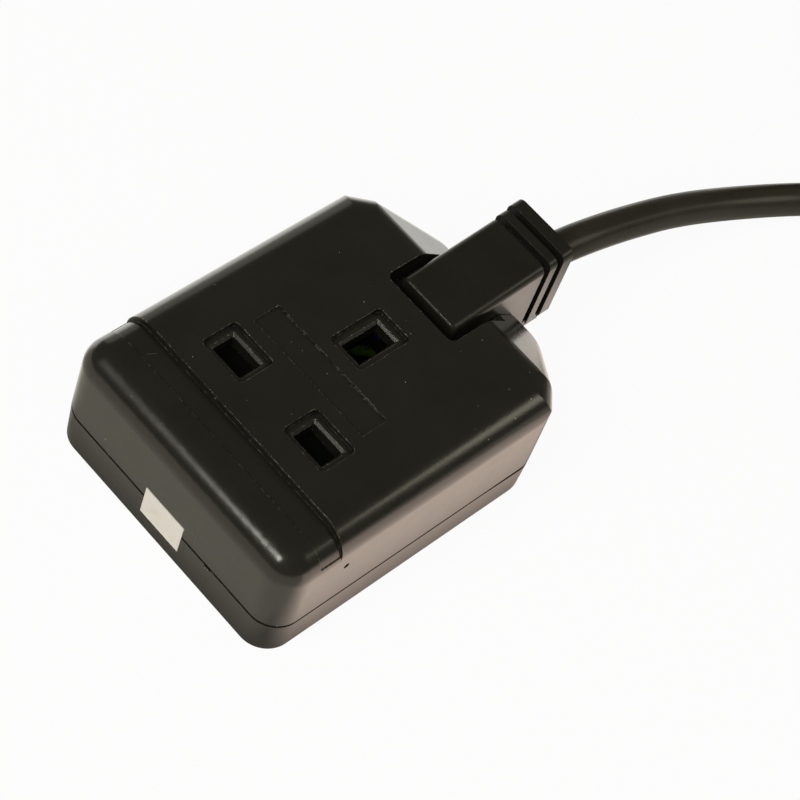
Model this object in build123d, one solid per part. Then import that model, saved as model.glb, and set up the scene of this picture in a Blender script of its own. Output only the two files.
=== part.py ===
from build123d import *
import math
import os

# Extension lead with one three-pin 13 A outlet, in millimetres.
# The origin is the middle of the housing's underside. +Y points to the cable, +Z up.

# Housing
body_width = 59.8
body_length = 78.0
body_height = 29.2
parting_height = 9.1
wall = 2.6
top_wall = 4.0
floor_thickness = 3.0
front_corner_radius = 5.8
side_edge_radius = 6.2
front_edge_radius = 5.6
end_edge_radius = 7.0
side_lean = 0.4
base_lean = 0.3
end_corner_cut = 12.7
end_corner_blend = 7.0
bevel_run = 11.8
bevel_drop = 9.3
bevel_blend = 6.0
parting_gap = 0.4
parting_gap_depth = 0.8
gap_opening = 1.1
gap_opening_run = 26.0
foot_chamfer = 0.5
tongue_thickness = 1.2
tongue_height = 1.5
notch_x = 12.5
notch_width = 1.6
notch_height = 0.9
pit_from_front = 15.2
pit_height = 19.0
pit_diameter = 1.2
pit_depth = 0.6

# Front cap, lower than the top face, with a shallow band behind it
cap_length = 12.9
cap_drop = 1.4
band_length = 4.8
band_depth = 0.2
band_reach = 5.5

# Fits: root is how far a joined piece starts inside its neighbour, past how far a cut runs through
clearance = 0.15
running_gap = 0.3
least_radius = 0.8
root = 0.5
past = 1.0
arc_share = 0.48

# Outlet, on the pin spacing of the 13 A standard
pin_spread = 22.23
pin_rise = 22.23
live_from_front = 22.3
live_slot_width = 7.4
live_slot_length = 4.8
earth_slot_width = 4.8
earth_slot_length = 8.8
slot_lead_in = 0.5
recess_border_live = 1.7
recess_border_earth = 1.9
recess_depth = 1.0
recess_radius = 1.0
panel_width = 29.6
panel_length = 6.0
panel_depth = 0.4
panel_shift = 1.1

# Label on the front
label_width = 10.4
label_height = 7.6
label_low = 4.2
label_thickness = 0.12

# Cable and its boot
cable_diameter = 7.0
cable_height = 20.0
boot_width = 14.6
boot_front = 18.8
boot_reach = 11.9
boot_front_top = 29.4
boot_rear_top = 31.4
boot_rear_bottom = 12.4
boot_body_share = 0.65
boot_rib_share = 0.3
boot_edge_radius = 1.8
boot_front_radius = 0.8
boot_collar_width = 19.2
boot_collar_length = 6.0
boot_collar_top = 22.0
groove_width = 1.3
groove_depth = 1.3
groove_low = 13.6
rib_length = 1.9
flange_length = 2.6
rib_proud = 0.25
flange_proud = 0.5
pocket_width = 18.2
pocket_gap = 2.3
pocket_radius = 1.5
pocket_floor = 24.0
pocket_floor_thickness = 1.8

# Fasteners
screw_edge = 8.0
screw_back_edge = 18.0
screw_diameter = 3.0
screw_head_diameter = 5.6
screw_head_height = 2.4
screw_head_sink = 1.6
screw_length = 18.0
boss_diameter = 7.4
small_screw_diameter = 2.2
small_head_diameter = 4.6
small_head_height = 1.5
small_boss_diameter = 6.0
drive_width = 0.8
drive_depth = 0.9

# Shutter
shutter_thickness = 2.0
shutter_travel = 6.0
shutter_overlap = 0.8
shutter_bar_width = 33.2
shutter_spine_width = 9.0
ramp_width = 6.8
ramp_drop = 8.0
ramp_thickness = 1.5
retainer_thickness = 2.0
retainer_rail = 1.6
retainer_edge = 1.0
retainer_screw_x = 12.0
spring_diameter = 3.0
spring_wire = 0.45
spring_turns = 5.0
spring_length = 13.0
spring_seat_thickness = 1.4
spring_nose = 2.0

# Contacts
brass_thickness = 0.8
clip_half_width = 3.2
clip_pinch = 2.2
clip_flare = 3.0
live_clip_width = 6.4
live_clip_gap = 0.9
live_web_height = 9.0
earth_clip_width = 8.0
earth_clip_gap = 1.5
earth_web_height = 4.4
link_width = 5.0
terminal_size = 7.0
terminal_wall_gap = 2.1
earth_terminal_x = -12.0
earth_terminal_room = 8.2
rail_end_gap = 0.3
rail_lip_thickness = 1.2
rail_lip_height = 1.5
rail_overlap = 0.2
terminal_wire_height = 3.0
terminal_screw_diameter = 2.6
core_diameter = 2.4
conductor_diameter = 1.5
conductor_length = 5.0
core_spread = 1.45
core_rise = 0.6
core_drop = 2.1
live_core_fan = (0.56, 0.18, 0.45)
live_core_run = 0.5
earth_core_fan = 0.8
earth_core_run = 1.3
earth_core_dip = 2.0
sheath_step = 0.3

# Put-away coil and its tie
coil_x = 18.5
coil_away = 143.6
coil_mean_radius = 36.0
coil_columns = 3
coil_rows = 3
coil_lift = 1.0
coil_entry_angle = -45.0
tail_step = 22.5
tail_rise = (0.0, 0.03, 0.12, 0.27, 0.46, 0.66, 0.84, 0.96, 1.0)
tie_width = 8.0
tie_thickness = 0.8
tie_angle = -125.0
tie_slack = 0.4

# Plug, lying on the coil with its pins up
plug_width = 48.0
plug_length = 49.0
plug_height = 20.0
plug_parting = 10.0
plug_corner_radius = 9.0
plug_wall = 2.6
plug_face_wall = 3.5
plug_back_inset = 2.5
pin_face_y = 7.7
live_pin_width = 6.35
live_pin_length = 4.0
live_pin_reach = 17.7
earth_pin_width = 4.0
earth_pin_length = 8.0
earth_pin_reach = 22.7
pin_tip_chamfer = 1.0
sleeve_reach = 9.3
sleeve_thickness = 0.6
pin_foot = 5.2
fuse_diameter = 6.3
fuse_length = 25.4
fuse_x = 17.6
fuse_y = -4.0
grip_length = 4.4
grip_width = 20.0
grip_thickness = 2.0
grip_y = 17.4
grip_screw_edge = 3.0
fuse_clip_edge = 3.0
fuse_clip_width = 5.0
plug_screw_sink = 0.4
plug_core_lap = 1.0
plug_core_fan = (3.6, 1.8, 1.5)
plug_core_run = 3.0
plug_earth_turn = 3.0
plug_earth_side = 1.0
plug_earth_dip = 2.0
plug_earth_run = 5.0

# The cable's route between its straight exit and the coil, chosen by hand, with Y from the boot's end
lead_straight = 11.0
lead_route = [
    (1.9, 26.0, 17.2),
    (4.3, 41.5, 12.8),
    (8.2, 58.0, 7.8),
    (14.6, 75.0, 4.4),
    (24.5, 91.0, 4.2),
    (35.8, 103.5, 4.5),
]

# Places that follow from the sizes above
front_y = -body_length / 2
end_y = body_length / 2
ceiling = body_height - top_wall
base_inset = wall + clearance + tongue_thickness
cap_radius = min(front_edge_radius, front_corner_radius - least_radius / 4)
cap_top = body_height - cap_drop
step_y = front_y + cap_length
live_x = pin_spread / 2
live_y = front_y + live_from_front
earth_y = live_y + pin_rise
boot_front_y = end_y - boot_front
boot_rear_y = end_y + boot_reach
pocket_front_y = boot_front_y - pocket_gap
sheath_end_y = boot_front_y + sheath_step
collar_front_y = boot_front_y - boot_collar_length / 2
earth_terminal_y = collar_front_y - earth_terminal_room - terminal_size / 2
live_terminal_x = body_width / 2 - base_inset - terminal_wall_gap - terminal_size / 2
shutter_top = ceiling - clearance
shutter_bottom = shutter_top - shutter_thickness
retainer_top = shutter_bottom - clearance
retainer_bottom = retainer_top - retainer_thickness
ramp_bottom = shutter_top - ramp_drop
live_clip_top = retainer_bottom - live_clip_gap
earth_clip_top = ramp_bottom - earth_clip_gap
ramp_front_y = earth_y - earth_slot_length / 2
bar_front_y = live_y - live_slot_length / 2 - shutter_overlap
bar_back_y = live_y + live_slot_length / 2 + shutter_overlap
retainer_front_y = bar_front_y - shutter_travel - running_gap
retainer_back_y = earth_y + earth_slot_length / 2 + retainer_edge
spring_seat_y = bar_front_y - spring_length
spring_height = ceiling - spring_diameter / 2 - running_gap
coil_y = boot_rear_y + coil_away
coil_outer = coil_mean_radius + coil_columns * cable_diameter / 2
coil_inner = coil_mean_radius - coil_columns * cable_diameter / 2
coil_top = coil_lift + coil_rows * cable_diameter
tail_radius = coil_inner + cable_diameter / 2
screw_x = body_width / 2 - screw_edge
screw_rows = (front_y + screw_edge, end_y - screw_back_edge)
screw_places = [(side * screw_x, y) for side in (-1, 1) for y in screw_rows]


def box(x, y, z):
    """A block between two values on each axis."""
    size = [b - a for a, b in (x, y, z)]
    middle = [(a + b) / 2 for a, b in (x, y, z)]
    return Pos(*middle) * Box(*size)


def slab(sketch, low, high):
    """A sketch raised between two heights."""
    return Pos(0, 0, low) * extrude(sketch, high - low)


def peg(x, y, low, high, diameter):
    """A round post between two heights."""
    return Pos(x, y, (low + high) / 2) * Cylinder(diameter / 2, high - low)


def rod(x, z, near, far, diameter):
    """A round bar along Y."""
    return Pos(x, (near + far) / 2, z) * Rot(90, 0, 0) * Cylinder(diameter / 2, far - near)


def outline(points):
    """A flat face with straight sides."""
    return make_face(Polyline(*points, close=True))


def strip(points, thickness):
    """The edge view of a bent metal strip that follows points."""
    left, right = [], []
    for i, here in enumerate(points):
        before = points[max(i - 1, 0)]
        after = points[min(i + 1, len(points) - 1)]
        d1 = Vector(here[0] - before[0], here[1] - before[1])
        d2 = Vector(after[0] - here[0], after[1] - here[1])
        d1 = (d1 if d1.length > 0 else d2).normalized()
        d2 = (d2 if d2.length > 0 else d1).normalized()
        across = Vector(-d1.Y - d2.Y, d1.X + d2.X).normalized()
        half = thickness / 2 / across.dot(Vector(-d1.Y, d1.X))
        left.append((here[0] + across.X * half, here[1] + across.Y * half))
        right.append((here[0] - across.X * half, here[1] - across.Y * half))
    return outline(left + right[::-1])


def bends(points):
    """The largest even arc that each corner of a cable's route has room for."""
    radii = []
    for a, b, c in zip(points, points[1:], points[2:]):
        run_in, run_out = Vector(b) - Vector(a), Vector(c) - Vector(b)
        half_turn = math.radians(run_in.get_angle(run_out)) / 2
        radii.append(arc_share * min(run_in.length, run_out.length) / math.tan(half_turn))
    return radii


def tube(points, radii, diameter):
    """A round cable along straight runs joined by arcs."""
    path = FilletPolyline(*points, radius=radii)
    start = Plane(origin=points[0], z_dir=Vector(points[1]) - Vector(points[0]))
    solid = sweep(start * Circle(diameter / 2), path=path)
    expected = math.pi * diameter**2 / 4 * path.length
    print("tube", round(path.length, 1), "mm, volume", round(solid.volume / expected, 4))
    return solid


def slotted_screw(x, y, tip, seat, head_diameter, head_height, diameter):
    """A pan screw with its head below seat, its tip above, and a cross slot."""
    low = seat - head_height
    screw = peg(x, y, seat, tip, diameter) + peg(x, y, low, seat, head_diameter)
    reach = head_diameter * 0.3
    for wide, long in ((drive_width, 2 * reach), (2 * reach, drive_width)):
        screw -= Pos(x, y, low + drive_depth / 2) * Box(wide, long, drive_depth)
    return screw


def plan(inset=0.0, lean=0.0):
    """The housing seen from above, drawn in by inset all round and by lean at the sides."""
    shape = Rectangle(body_width - 2 * (inset + lean), body_length - 2 * inset)
    cut = end_corner_cut - inset * (2 - math.sqrt(2)) - lean
    shape = chamfer(shape.vertices().sort_by(Axis.Y)[2:], cut)
    blend = max(end_corner_blend - inset, least_radius)
    shape = fillet(shape.vertices().sort_by(Axis.Y)[2:], blend)
    corner = max(front_corner_radius - inset, least_radius)
    return fillet(shape.vertices().sort_by(Axis.Y)[:2], corner)


def lean_at(height):
    """How far a side of the cover leans in at a height above the joint."""
    return side_lean * (height - parting_height) / (body_height - parting_height)


def leaning_block(inset, low, high):
    """The plan raised between two heights of the cover, with its sides leaning in."""
    return loft([Pos(0, 0, z) * plan(inset, lean_at(z)) for z in (low, high)])


def across_profile(inset, low, high):
    """The cover's cross-section, with its rounded top edges."""
    foot, head = (body_width / 2 - inset - lean_at(z) for z in (low, high))
    shape = outline([(-foot, low), (foot, low), (head, high), (-head, high)])
    return fillet(shape.vertices().sort_by(Axis.Y)[2:], max(side_edge_radius - inset, least_radius))


def along_profile(inset, low, high):
    """The cover seen from the side, with the bevel at the cable end."""
    slope = math.hypot(bevel_run, bevel_drop)
    back = end_y - inset
    bevel_y = end_y - bevel_run
    low_end = body_height - (inset * slope + bevel_drop * (back - bevel_y)) / bevel_run
    top_end = bevel_y - (inset * slope + bevel_run * (high - body_height)) / bevel_drop
    front = front_y + inset
    shape = outline([(front, low), (back, low), (back, low_end), (top_end, high), (front, high)])
    ridge = shape.vertices().sort_by_distance((top_end, high))[0]
    return fillet(ridge, bevel_blend)


def round_edge(block, point, upper, outer, radius):
    """A block with the edge through point, between two flat faces with these normals, rounded."""
    upper, outer = upper.normalized(), outer.normalized()
    shared = upper.dot(outer)
    inward = (upper * shared - outer).normalized()
    down = (outer * shared - upper).normalized()
    across = Plane(origin=point, x_dir=inward, z_dir=inward.cross(-upper))
    reach = 2 * body_length
    a = Vector(reach, 0)
    b = Vector(down.dot(inward), -down.dot(upper)) * reach
    wedge = outline([(0, 0), (a.X, a.Y), (a.X + b.X, a.Y + b.Y), (b.X, b.Y)])
    wedge = fillet(wedge.vertices().sort_by_distance((0, 0))[0], radius)
    return block & extrude(across * wedge, reach, both=True)


def rounded_block(inset, low, high):
    """The cover's main form: leaning plan, rounded section, bevelled side and rounded corners."""
    block = leaning_block(inset, low, high)
    block &= extrude(Plane.XZ * across_profile(inset, low, high), body_length, both=True)
    block &= extrude(Plane.YZ * along_profile(inset, low, high), body_width, both=True)
    slope = math.hypot(bevel_run, bevel_drop)
    sum_xy = body_width / 2 + end_y - end_corner_cut - inset * math.sqrt(2)
    bevel_y = end_y - bevel_run - inset * slope / bevel_drop
    radius = max(end_edge_radius - inset, least_radius)
    for side in (-1, 1):
        corner = Vector(side, 1, 0)
        on_bevel = (side * (sum_xy - bevel_y), bevel_y, body_height)
        block = round_edge(block, on_bevel, Vector(0, bevel_drop, bevel_run), corner, radius)
        on_top = (side * sum_xy, 0, high)
        block = round_edge(block, on_top, Vector(0, 0, 1), corner, radius)
    return block


def cap_block(inset):
    """The lower front end of the cover, rounded on its three outer top edges."""
    block = leaning_block(inset, parting_height, cap_top - inset)
    block &= box((-body_width, body_width), (front_y, step_y), (0, body_height))
    rim = block.faces().sort_by(Axis.Z)[-1].edges().sort_by(Axis.Y)[:-1]
    return fillet(rim, cap_radius - inset)


def recessed_slot(x, y, width, length, border):
    """What one pin opening takes out of the cover: recess, lead-in and slot."""
    recess = RectangleRounded(width + 2 * border, length + 2 * border, recess_radius)
    floor = body_height - recess_depth
    cut = slab(recess, floor, body_height + past)
    cut += slab(Rectangle(width, length), ceiling - past, floor)
    wide = Rectangle(width + 2 * slot_lead_in, length + 2 * slot_lead_in)
    narrow = Pos(0, 0, -slot_lead_in) * Rectangle(width, length)
    cut += Pos(0, 0, floor) * loft([narrow, wide])
    return Pos(x, y, 0) * cut


def top_cover():
    """The cover: outer form, cavity, slots, boot pocket and inner posts."""
    everywhere = (-body_width, body_width)
    body = rounded_block(0, parting_height, body_height)
    body &= box(everywhere, (step_y, end_y + past), (0, body_height + past))
    witness_y = step_y - band_length
    band = box(everywhere, (witness_y, step_y), (body_height - band_reach, body_height))
    body += cap_block(0) - (band - cap_block(band_depth))
    pit = Rot(0, 90, 0) * Cylinder(pit_diameter / 2, 2 * pit_depth)
    body -= Pos(body_width / 2 - lean_at(pit_height), front_y + pit_from_front, pit_height) * pit

    body -= rounded_block(wall, parting_height, ceiling)
    tray_width = pocket_width + 2 * pocket_floor_thickness
    tray = box(
        (-tray_width / 2, tray_width / 2),
        (pocket_front_y - pocket_floor_thickness, end_y),
        (pocket_floor - pocket_floor_thickness, ceiling + root),
    )
    body += tray & rounded_block(wall / 2, parting_height, body_height - wall / 2)

    pocket = Rectangle(pocket_width, body_length)
    pocket = fillet(pocket.vertices().sort_by(Axis.Y)[:2], pocket_radius)
    body -= Pos(0, pocket_front_y + body_length / 2, 0) * slab(pocket, pocket_floor, body_height + past)
    half = boot_width / 2 + clearance
    body -= box((-half, half), (boot_front_y - clearance, end_y + past), (0, pocket_floor + past))

    for side in (-1, 1):
        body -= recessed_slot(side * live_x, live_y, live_slot_width, live_slot_length, recess_border_live)
    body -= recessed_slot(0, earth_y, earth_slot_width, earth_slot_length, recess_border_earth)
    panel = Rectangle(panel_width, panel_length)
    panel_y = (live_y + earth_y) / 2 - panel_shift
    body -= Pos(0, panel_y, 0) * slab(panel, body_height - panel_depth, body_height + past)

    for x, y in screw_places:
        body += peg(x, y, parting_height + clearance, ceiling + root, boss_diameter)
        tip = screw_head_sink + screw_head_height + screw_length + past
        body -= peg(x, y, parting_height, tip, screw_diameter + 2 * clearance)
    for side in (-1, 1):
        x = side * retainer_screw_x
        body += peg(x, 0, retainer_top + clearance, ceiling + root, small_boss_diameter)
        body -= peg(x, 0, retainer_top, ceiling + past, small_screw_diameter + 2 * clearance)
    seat = spring_diameter / 2 + spring_seat_thickness
    body += box(
        (-seat, seat),
        (spring_seat_y - spring_seat_thickness, spring_seat_y),
        (retainer_top, ceiling + root),
    )
    return body


def contact_rails(side):
    """Ribs on the floor that a live contact stands between."""
    inner, outer = clip_half_width - rail_overlap, clip_half_width + brass_thickness
    half = terminal_size / 2 + rail_end_gap
    ends = sorted((side * (live_x - half), side * (live_terminal_x + half)))
    rails = Part()
    for sign in (-1, 1):
        ledge = sorted(live_y + sign * v for v in (inner, outer))
        lip = sorted(live_y + sign * v for v in (outer, outer + rail_lip_thickness))
        ledge_top = live_web_height - brass_thickness / 2
        rails += box(ends, ledge, (floor_thickness - root, ledge_top))
        rails += box(ends, lip, (floor_thickness - root, ledge_top + rail_lip_height))
    return rails


def base():
    """The tray that closes the cover, with its tongue, posts and contact rails."""
    levels = [
        (0, foot_chamfer, base_lean),
        (foot_chamfer, 0, base_lean),
        (parting_height - parting_gap, 0, 0),
    ]
    body = loft([Pos(0, 0, z) * plan(inset, lean) for z, inset, lean in levels], ruled=True)
    rim = parting_height - parting_gap
    opening = outline([(end_y - gap_opening_run, rim), (end_y + past, rim), (end_y + past, rim - gap_opening)])
    body -= extrude(Plane.YZ * opening, body_width, both=True)
    body += slab(plan(parting_gap_depth), rim - gap_opening - root, parting_height)
    body -= box(
        (notch_x - notch_width / 2, notch_x + notch_width / 2),
        (front_y - past, front_y + parting_gap_depth),
        (parting_height - notch_height, parting_height),
    )
    body -= slab(plan(base_inset), floor_thickness, parting_height + past)
    tongue = plan(wall + clearance) - plan(base_inset)
    body += slab(tongue, parting_height, parting_height + tongue_height)
    half = boot_width / 2 + 2 * clearance
    body -= box((-half, half), (0, end_y), (parting_height, parting_height + 2 * tongue_height))
    for side in (-1, 1):
        body += contact_rails(side)
    pad_top = earth_web_height - brass_thickness / 2
    half = terminal_size / 2
    body += box(
        (earth_terminal_x - half, clip_half_width),
        (min(earth_y, earth_terminal_y) - half, max(earth_y, earth_terminal_y) + half),
        (floor_thickness - root, pad_top),
    )
    half = boot_width / 2
    body += box(
        (-half, half),
        (boot_front_y, boot_front_y + boot_collar_length / 2),
        (floor_thickness - root, parting_height),
    )
    for x, y in screw_places:
        seat = screw_head_sink + screw_head_height
        body += peg(x, y, floor_thickness - root, parting_height, boss_diameter)
        body -= peg(x, y, -past, parting_height + past, screw_diameter + 2 * clearance)
        body -= peg(x, y, -past, seat, screw_head_diameter + 2 * clearance)
    return body


def cover_screws():
    """Four screws, driven from below."""
    seat = screw_head_sink + screw_head_height
    screws = Part()
    for x, y in screw_places:
        screws += slotted_screw(
            x, y, seat + screw_length, seat, screw_head_diameter, screw_head_height, screw_diameter
        )
    return screws


def boot_section(y, extra, bottom, inset=0.0):
    """One cross-section of the boot, standing across Y."""
    share = (y - boot_front_y) / (boot_rear_y - boot_front_y)
    top = boot_front_top + share * (boot_rear_top - boot_front_top) + extra - inset
    width = boot_width + 2 * (extra - inset)
    section = RectangleRounded(width, top - bottom, boot_edge_radius)
    return Plane.XZ.offset(-y) * Pos(0, (top + bottom) / 2) * section


def cable_boot():
    """The strain relief: tapered body, grooves, rib, end flange and inner collar."""
    low = parting_height + clearance
    flange_y = boot_rear_y - flange_length
    rib_y = flange_y - groove_width - rib_length
    body_end = rib_y - groove_width
    body_low = boot_rear_bottom - (boot_rear_bottom - low) * boot_body_share
    body = loft([boot_section(boot_front_y, 0, low), boot_section(body_end, 0, body_low)])
    body = fillet(body.faces().sort_by(Axis.Y)[0].edges(), boot_front_radius)
    rib_low = boot_rear_bottom - (boot_rear_bottom - low) * boot_rib_share
    rib = loft([boot_section(y, rib_proud, rib_low) for y in (rib_y, rib_y + rib_length)])
    flange = loft(
        [boot_section(y, flange_proud, boot_rear_bottom - flange_proud) for y in (flange_y, boot_rear_y)]
    )
    core_ends = (body_end - root, flange_y + root)
    core = loft([boot_section(y, 0, rib_low + groove_depth, groove_depth) for y in core_ends])
    half = boot_width / 2
    web = box((-half, half), core_ends, (rib_low, groove_low))
    collar_half = boot_collar_width / 2
    collar = box(
        (-collar_half, collar_half),
        (collar_front_y, boot_front_y + boot_collar_length / 2),
        (low, boot_collar_top),
    )
    collar = fillet(collar.edges().filter_by(Axis.Z), boot_edge_radius)
    boot = body + rib + flange + core + web + collar
    bore = cable_diameter + 2 * clearance
    return boot - rod(0, cable_height, boot_front_y - boot_collar_length, boot_rear_y + past, bore)


def rating_label():
    """The small paper label across the joint on the front."""
    half = label_width / 2
    return box((-half, half), (front_y - label_thickness, front_y), (label_low, label_low + label_height))


def shutter():
    """The sliding shutter: two blades, a spine and the ramp that the earth pin pushes."""
    bar = shutter_bar_width / 2
    spine = shutter_spine_width / 2
    ramp = ramp_width / 2
    height = (shutter_bottom, shutter_top)
    body = box((-bar, bar), (bar_front_y, bar_back_y), height)
    body += box((-spine, spine), (bar_back_y - root, ramp_front_y), height)
    slope = outline(
        [
            (ramp_front_y - ramp_thickness, shutter_top),
            (ramp_front_y, shutter_top),
            (ramp_front_y + shutter_travel, ramp_bottom),
            (ramp_front_y + shutter_travel - ramp_thickness, ramp_bottom),
            (ramp_front_y - ramp_thickness, shutter_bottom),
        ]
    )
    body += extrude(Plane.YZ * slope, ramp, both=True)
    nose = spring_diameter - 2 * spring_wire - 2 * running_gap
    return body + rod(0, spring_height, bar_front_y - spring_nose, bar_front_y + running_gap / 2, nose)


def shutter_spring():
    """The coil spring between the shutter and its seat in the cover."""
    start = spring_seat_y + spring_wire / 2 + clearance
    length = bar_front_y - clearance - spring_wire / 2 - start
    radius = (spring_diameter - spring_wire) / 2
    path = Helix(length / spring_turns, length, radius)
    wire = Plane(origin=path @ 0, z_dir=path % 0) * RegularPolygon(spring_wire / 2, 6)
    coil = sweep(wire, path=path, is_frenet=True)
    return Pos(0, start, spring_height) * Rot(-90, 0, 0) * coil


def shutter_retainer():
    """The plate that holds the shutter up under the cover, with a guide rail each side."""
    inner = shutter_bar_width / 2 + running_gap
    outer = inner + retainer_rail
    body = box((-outer, outer), (retainer_front_y, retainer_back_y), (retainer_bottom, retainer_top))
    for side in (-1, 1):
        rail = sorted((side * inner, side * outer))
        body += box(rail, (retainer_front_y, bar_back_y + retainer_rail), (retainer_top, shutter_top))
        window = Rectangle(live_slot_width + 2 * running_gap, live_slot_length + 2 * running_gap)
        body -= Pos(side * live_x, live_y, 0) * slab(window, retainer_bottom - past, retainer_top + past)
        hole = small_screw_diameter + 2 * clearance
        body -= peg(side * retainer_screw_x, 0, retainer_bottom - past, retainer_top + past, hole)
    half = ramp_width / 2 + running_gap
    front = ramp_front_y - ramp_thickness - shutter_travel - running_gap
    through = (retainer_bottom - past, retainer_top + past)
    body -= box((-half, half), (front, retainer_back_y - retainer_edge), through)
    notch = spring_diameter / 2 + running_gap
    return body - box((-notch, notch), (retainer_front_y - past, bar_front_y + running_gap), through)


def retainer_screws():
    """Two small screws that hold the retainer."""
    screws = Part()
    for side in (-1, 1):
        screws += slotted_screw(
            side * retainer_screw_x, 0, ceiling + root, retainer_bottom,
            small_head_diameter, small_head_height, small_screw_diameter,
        )
    return screws


def clip_profile(web, top):
    """The edge view of a spring clip that grips a flat pin."""
    rise = top - web
    half = [
        (clip_half_width, web),
        (clip_half_width, web + 0.3 * rise),
        (clip_pinch, web + 0.75 * rise),
        (clip_flare, top),
    ]
    return strip([(-a, z) for a, z in half[::-1]] + half, brass_thickness)


def terminal(x, y, low):
    """A brass terminal block with a wire hole along Y and a screw hole from above."""
    half = terminal_size / 2
    block = box((x - half, x + half), (y - half, y + half), (low, low + terminal_size))
    wire = low + terminal_wire_height
    block -= rod(x, wire, y - half - past, y + half + past, core_diameter)
    return block - peg(x, y, wire, low + terminal_size + past, terminal_screw_diameter + 2 * clearance)


def live_contact(side):
    """A line or neutral contact: spring clip, link and terminal."""
    low = live_web_height - brass_thickness / 2
    profile = clip_profile(live_web_height, live_clip_top)
    clip = extrude(Plane.YZ * profile, live_clip_width / 2, both=True)
    body = Pos(side * live_x, live_y, 0) * clip
    far = side * live_terminal_x
    half = link_width / 2
    link = sorted((side * live_x, far))
    body += box(link, (live_y - half, live_y + half), (low, low + brass_thickness))
    return body + terminal(far, live_y, low)


def earth_contact():
    """The earth contact: spring clip, link and terminal."""
    low = earth_web_height - brass_thickness / 2
    profile = clip_profile(earth_web_height, earth_clip_top)
    clip = extrude(Plane.XZ * profile, earth_clip_width / 2, both=True)
    body = Pos(0, earth_y, 0) * clip
    half = link_width / 2
    height = (low, low + brass_thickness)
    body += box((earth_terminal_x, 0), (earth_y - half, earth_y + half), height)
    turn = (min(earth_y, earth_terminal_y) - half, max(earth_y, earth_terminal_y) + half)
    body += box((earth_terminal_x - half, earth_terminal_x + half), turn, height)
    return body + terminal(earth_terminal_x, earth_terminal_y, low)


def terminal_places():
    """The middle of each terminal's foot: line, neutral and earth."""
    live_low = live_web_height - brass_thickness / 2
    earth_low = earth_web_height - brass_thickness / 2
    return [
        (live_terminal_x, live_y, live_low),
        (-live_terminal_x, live_y, live_low),
        (earth_terminal_x, earth_terminal_y, earth_low),
    ]


def terminal_screws():
    """Three grub screws, one on each conductor."""
    screws = Part()
    for x, y, low in terminal_places():
        tip = low + terminal_wire_height + conductor_diameter / 2 + clearance
        top = low + terminal_size
        screw = peg(x, y, tip, top, terminal_screw_diameter)
        screw -= Pos(x, y, top) * Box(drive_width, terminal_screw_diameter, drive_depth)
        screws += screw
    return screws


def core(points):
    """One insulated core that ends in a bare conductor inside its terminal."""
    wire = tube(points, bends(points), core_diameter)
    x, y, z = points[-1]
    return wire + rod(x, z, y - conductor_length, y, conductor_diameter)


def socket_cores():
    """Line, neutral and earth cores, from the end of the sheath to the terminals."""
    line, neutral, earth = terminal_places()
    half = terminal_size / 2
    turn_y = collar_front_y - core_diameter
    cores = {}
    for name, place, side in (("line_core", line, 1), ("neutral_core", neutral, -1)):
        x, y, low = place
        start = Vector(side * core_spread, turn_y, cable_height + core_rise)
        end = Vector(x, y + half, low + terminal_wire_height)
        fan = [a + share * (b - a) for a, b, share in zip(start, end, live_core_fan)]
        run_y = end.Y + live_core_run * (turn_y - end.Y)
        cores[name] = core(
            [(start.X, sheath_end_y, start.Z), tuple(start), tuple(fan), (x, run_y, end.Z), tuple(end)]
        )
    x, y, low = earth
    z = low + terminal_wire_height
    start_z = cable_height - core_drop
    cores["earth_core"] = core(
        [
            (0, sheath_end_y, start_z),
            (0, turn_y, start_z),
            (x / 2, turn_y - earth_core_fan, (cable_height + z) / 2 - earth_core_dip),
            (x, turn_y - earth_core_run, z),
            (x, y + half, z),
        ]
    )
    return cores


def inner_sheath():
    """The cable's sheath inside the boot, up to where its cores part."""
    return rod(0, cable_height, sheath_end_y, boot_rear_y, cable_diameter)


def around_coil(angle, radius):
    """A point on the coil's plan."""
    a = math.radians(angle)
    return coil_x + radius * math.cos(a), coil_y + radius * math.sin(a)


def cable_coil():
    """The outer shape of the put-away turns."""
    section = outline(
        [(coil_inner, coil_lift), (coil_outer, coil_lift), (coil_outer, coil_top), (coil_inner, coil_top)]
    )
    section = chamfer(section.vertices(), cable_diameter / 4)
    return Pos(coil_x, coil_y, 0) * revolve(Plane.XZ * section, Axis.Z)


def coil_tie():
    """A flat band round the turns at one place."""
    inner = RectangleRounded(
        coil_outer - coil_inner + 2 * tie_slack, coil_top - coil_lift + tie_slack, cable_diameter / 4
    )
    outer = offset(inner, tie_thickness)
    middle = (coil_lift + coil_top) / 2
    band = extrude(Plane.XZ * (outer - inner), tie_width / 2, both=True)
    return Pos(coil_x, coil_y, middle) * Rot(0, 0, tie_angle) * Pos(coil_mean_radius, 0, 0) * band


def plug_place():
    """Where the plug lies: on the coil, with its cable over the inner turn."""
    return Pos(coil_x - plug_length / 2, coil_y + tail_radius, coil_top) * Rot(0, 0, -90)


def cable_tail():
    """The cable from the last turn, rising along it and into the plug."""
    low = coil_top - cable_diameter / 2
    rise = cable_diameter / 2 + plug_parting
    half_step = tail_step / 2
    corner = tail_radius / math.cos(math.radians(half_step))
    first = 90 - half_step - (len(tail_rise) - 1) * tail_step
    points = []
    for i, share in enumerate(tail_rise):
        points.append((*around_coil(first + i * tail_step, corner), low + share * rise))
    run_end = tail_radius * math.tan(math.radians(half_step))
    points.append((coil_x - run_end, coil_y + tail_radius, low + rise))
    radii = bends(points)
    print("tail radii", [round(r, 1) for r in radii])
    return tube(points, radii, cable_diameter)


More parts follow.
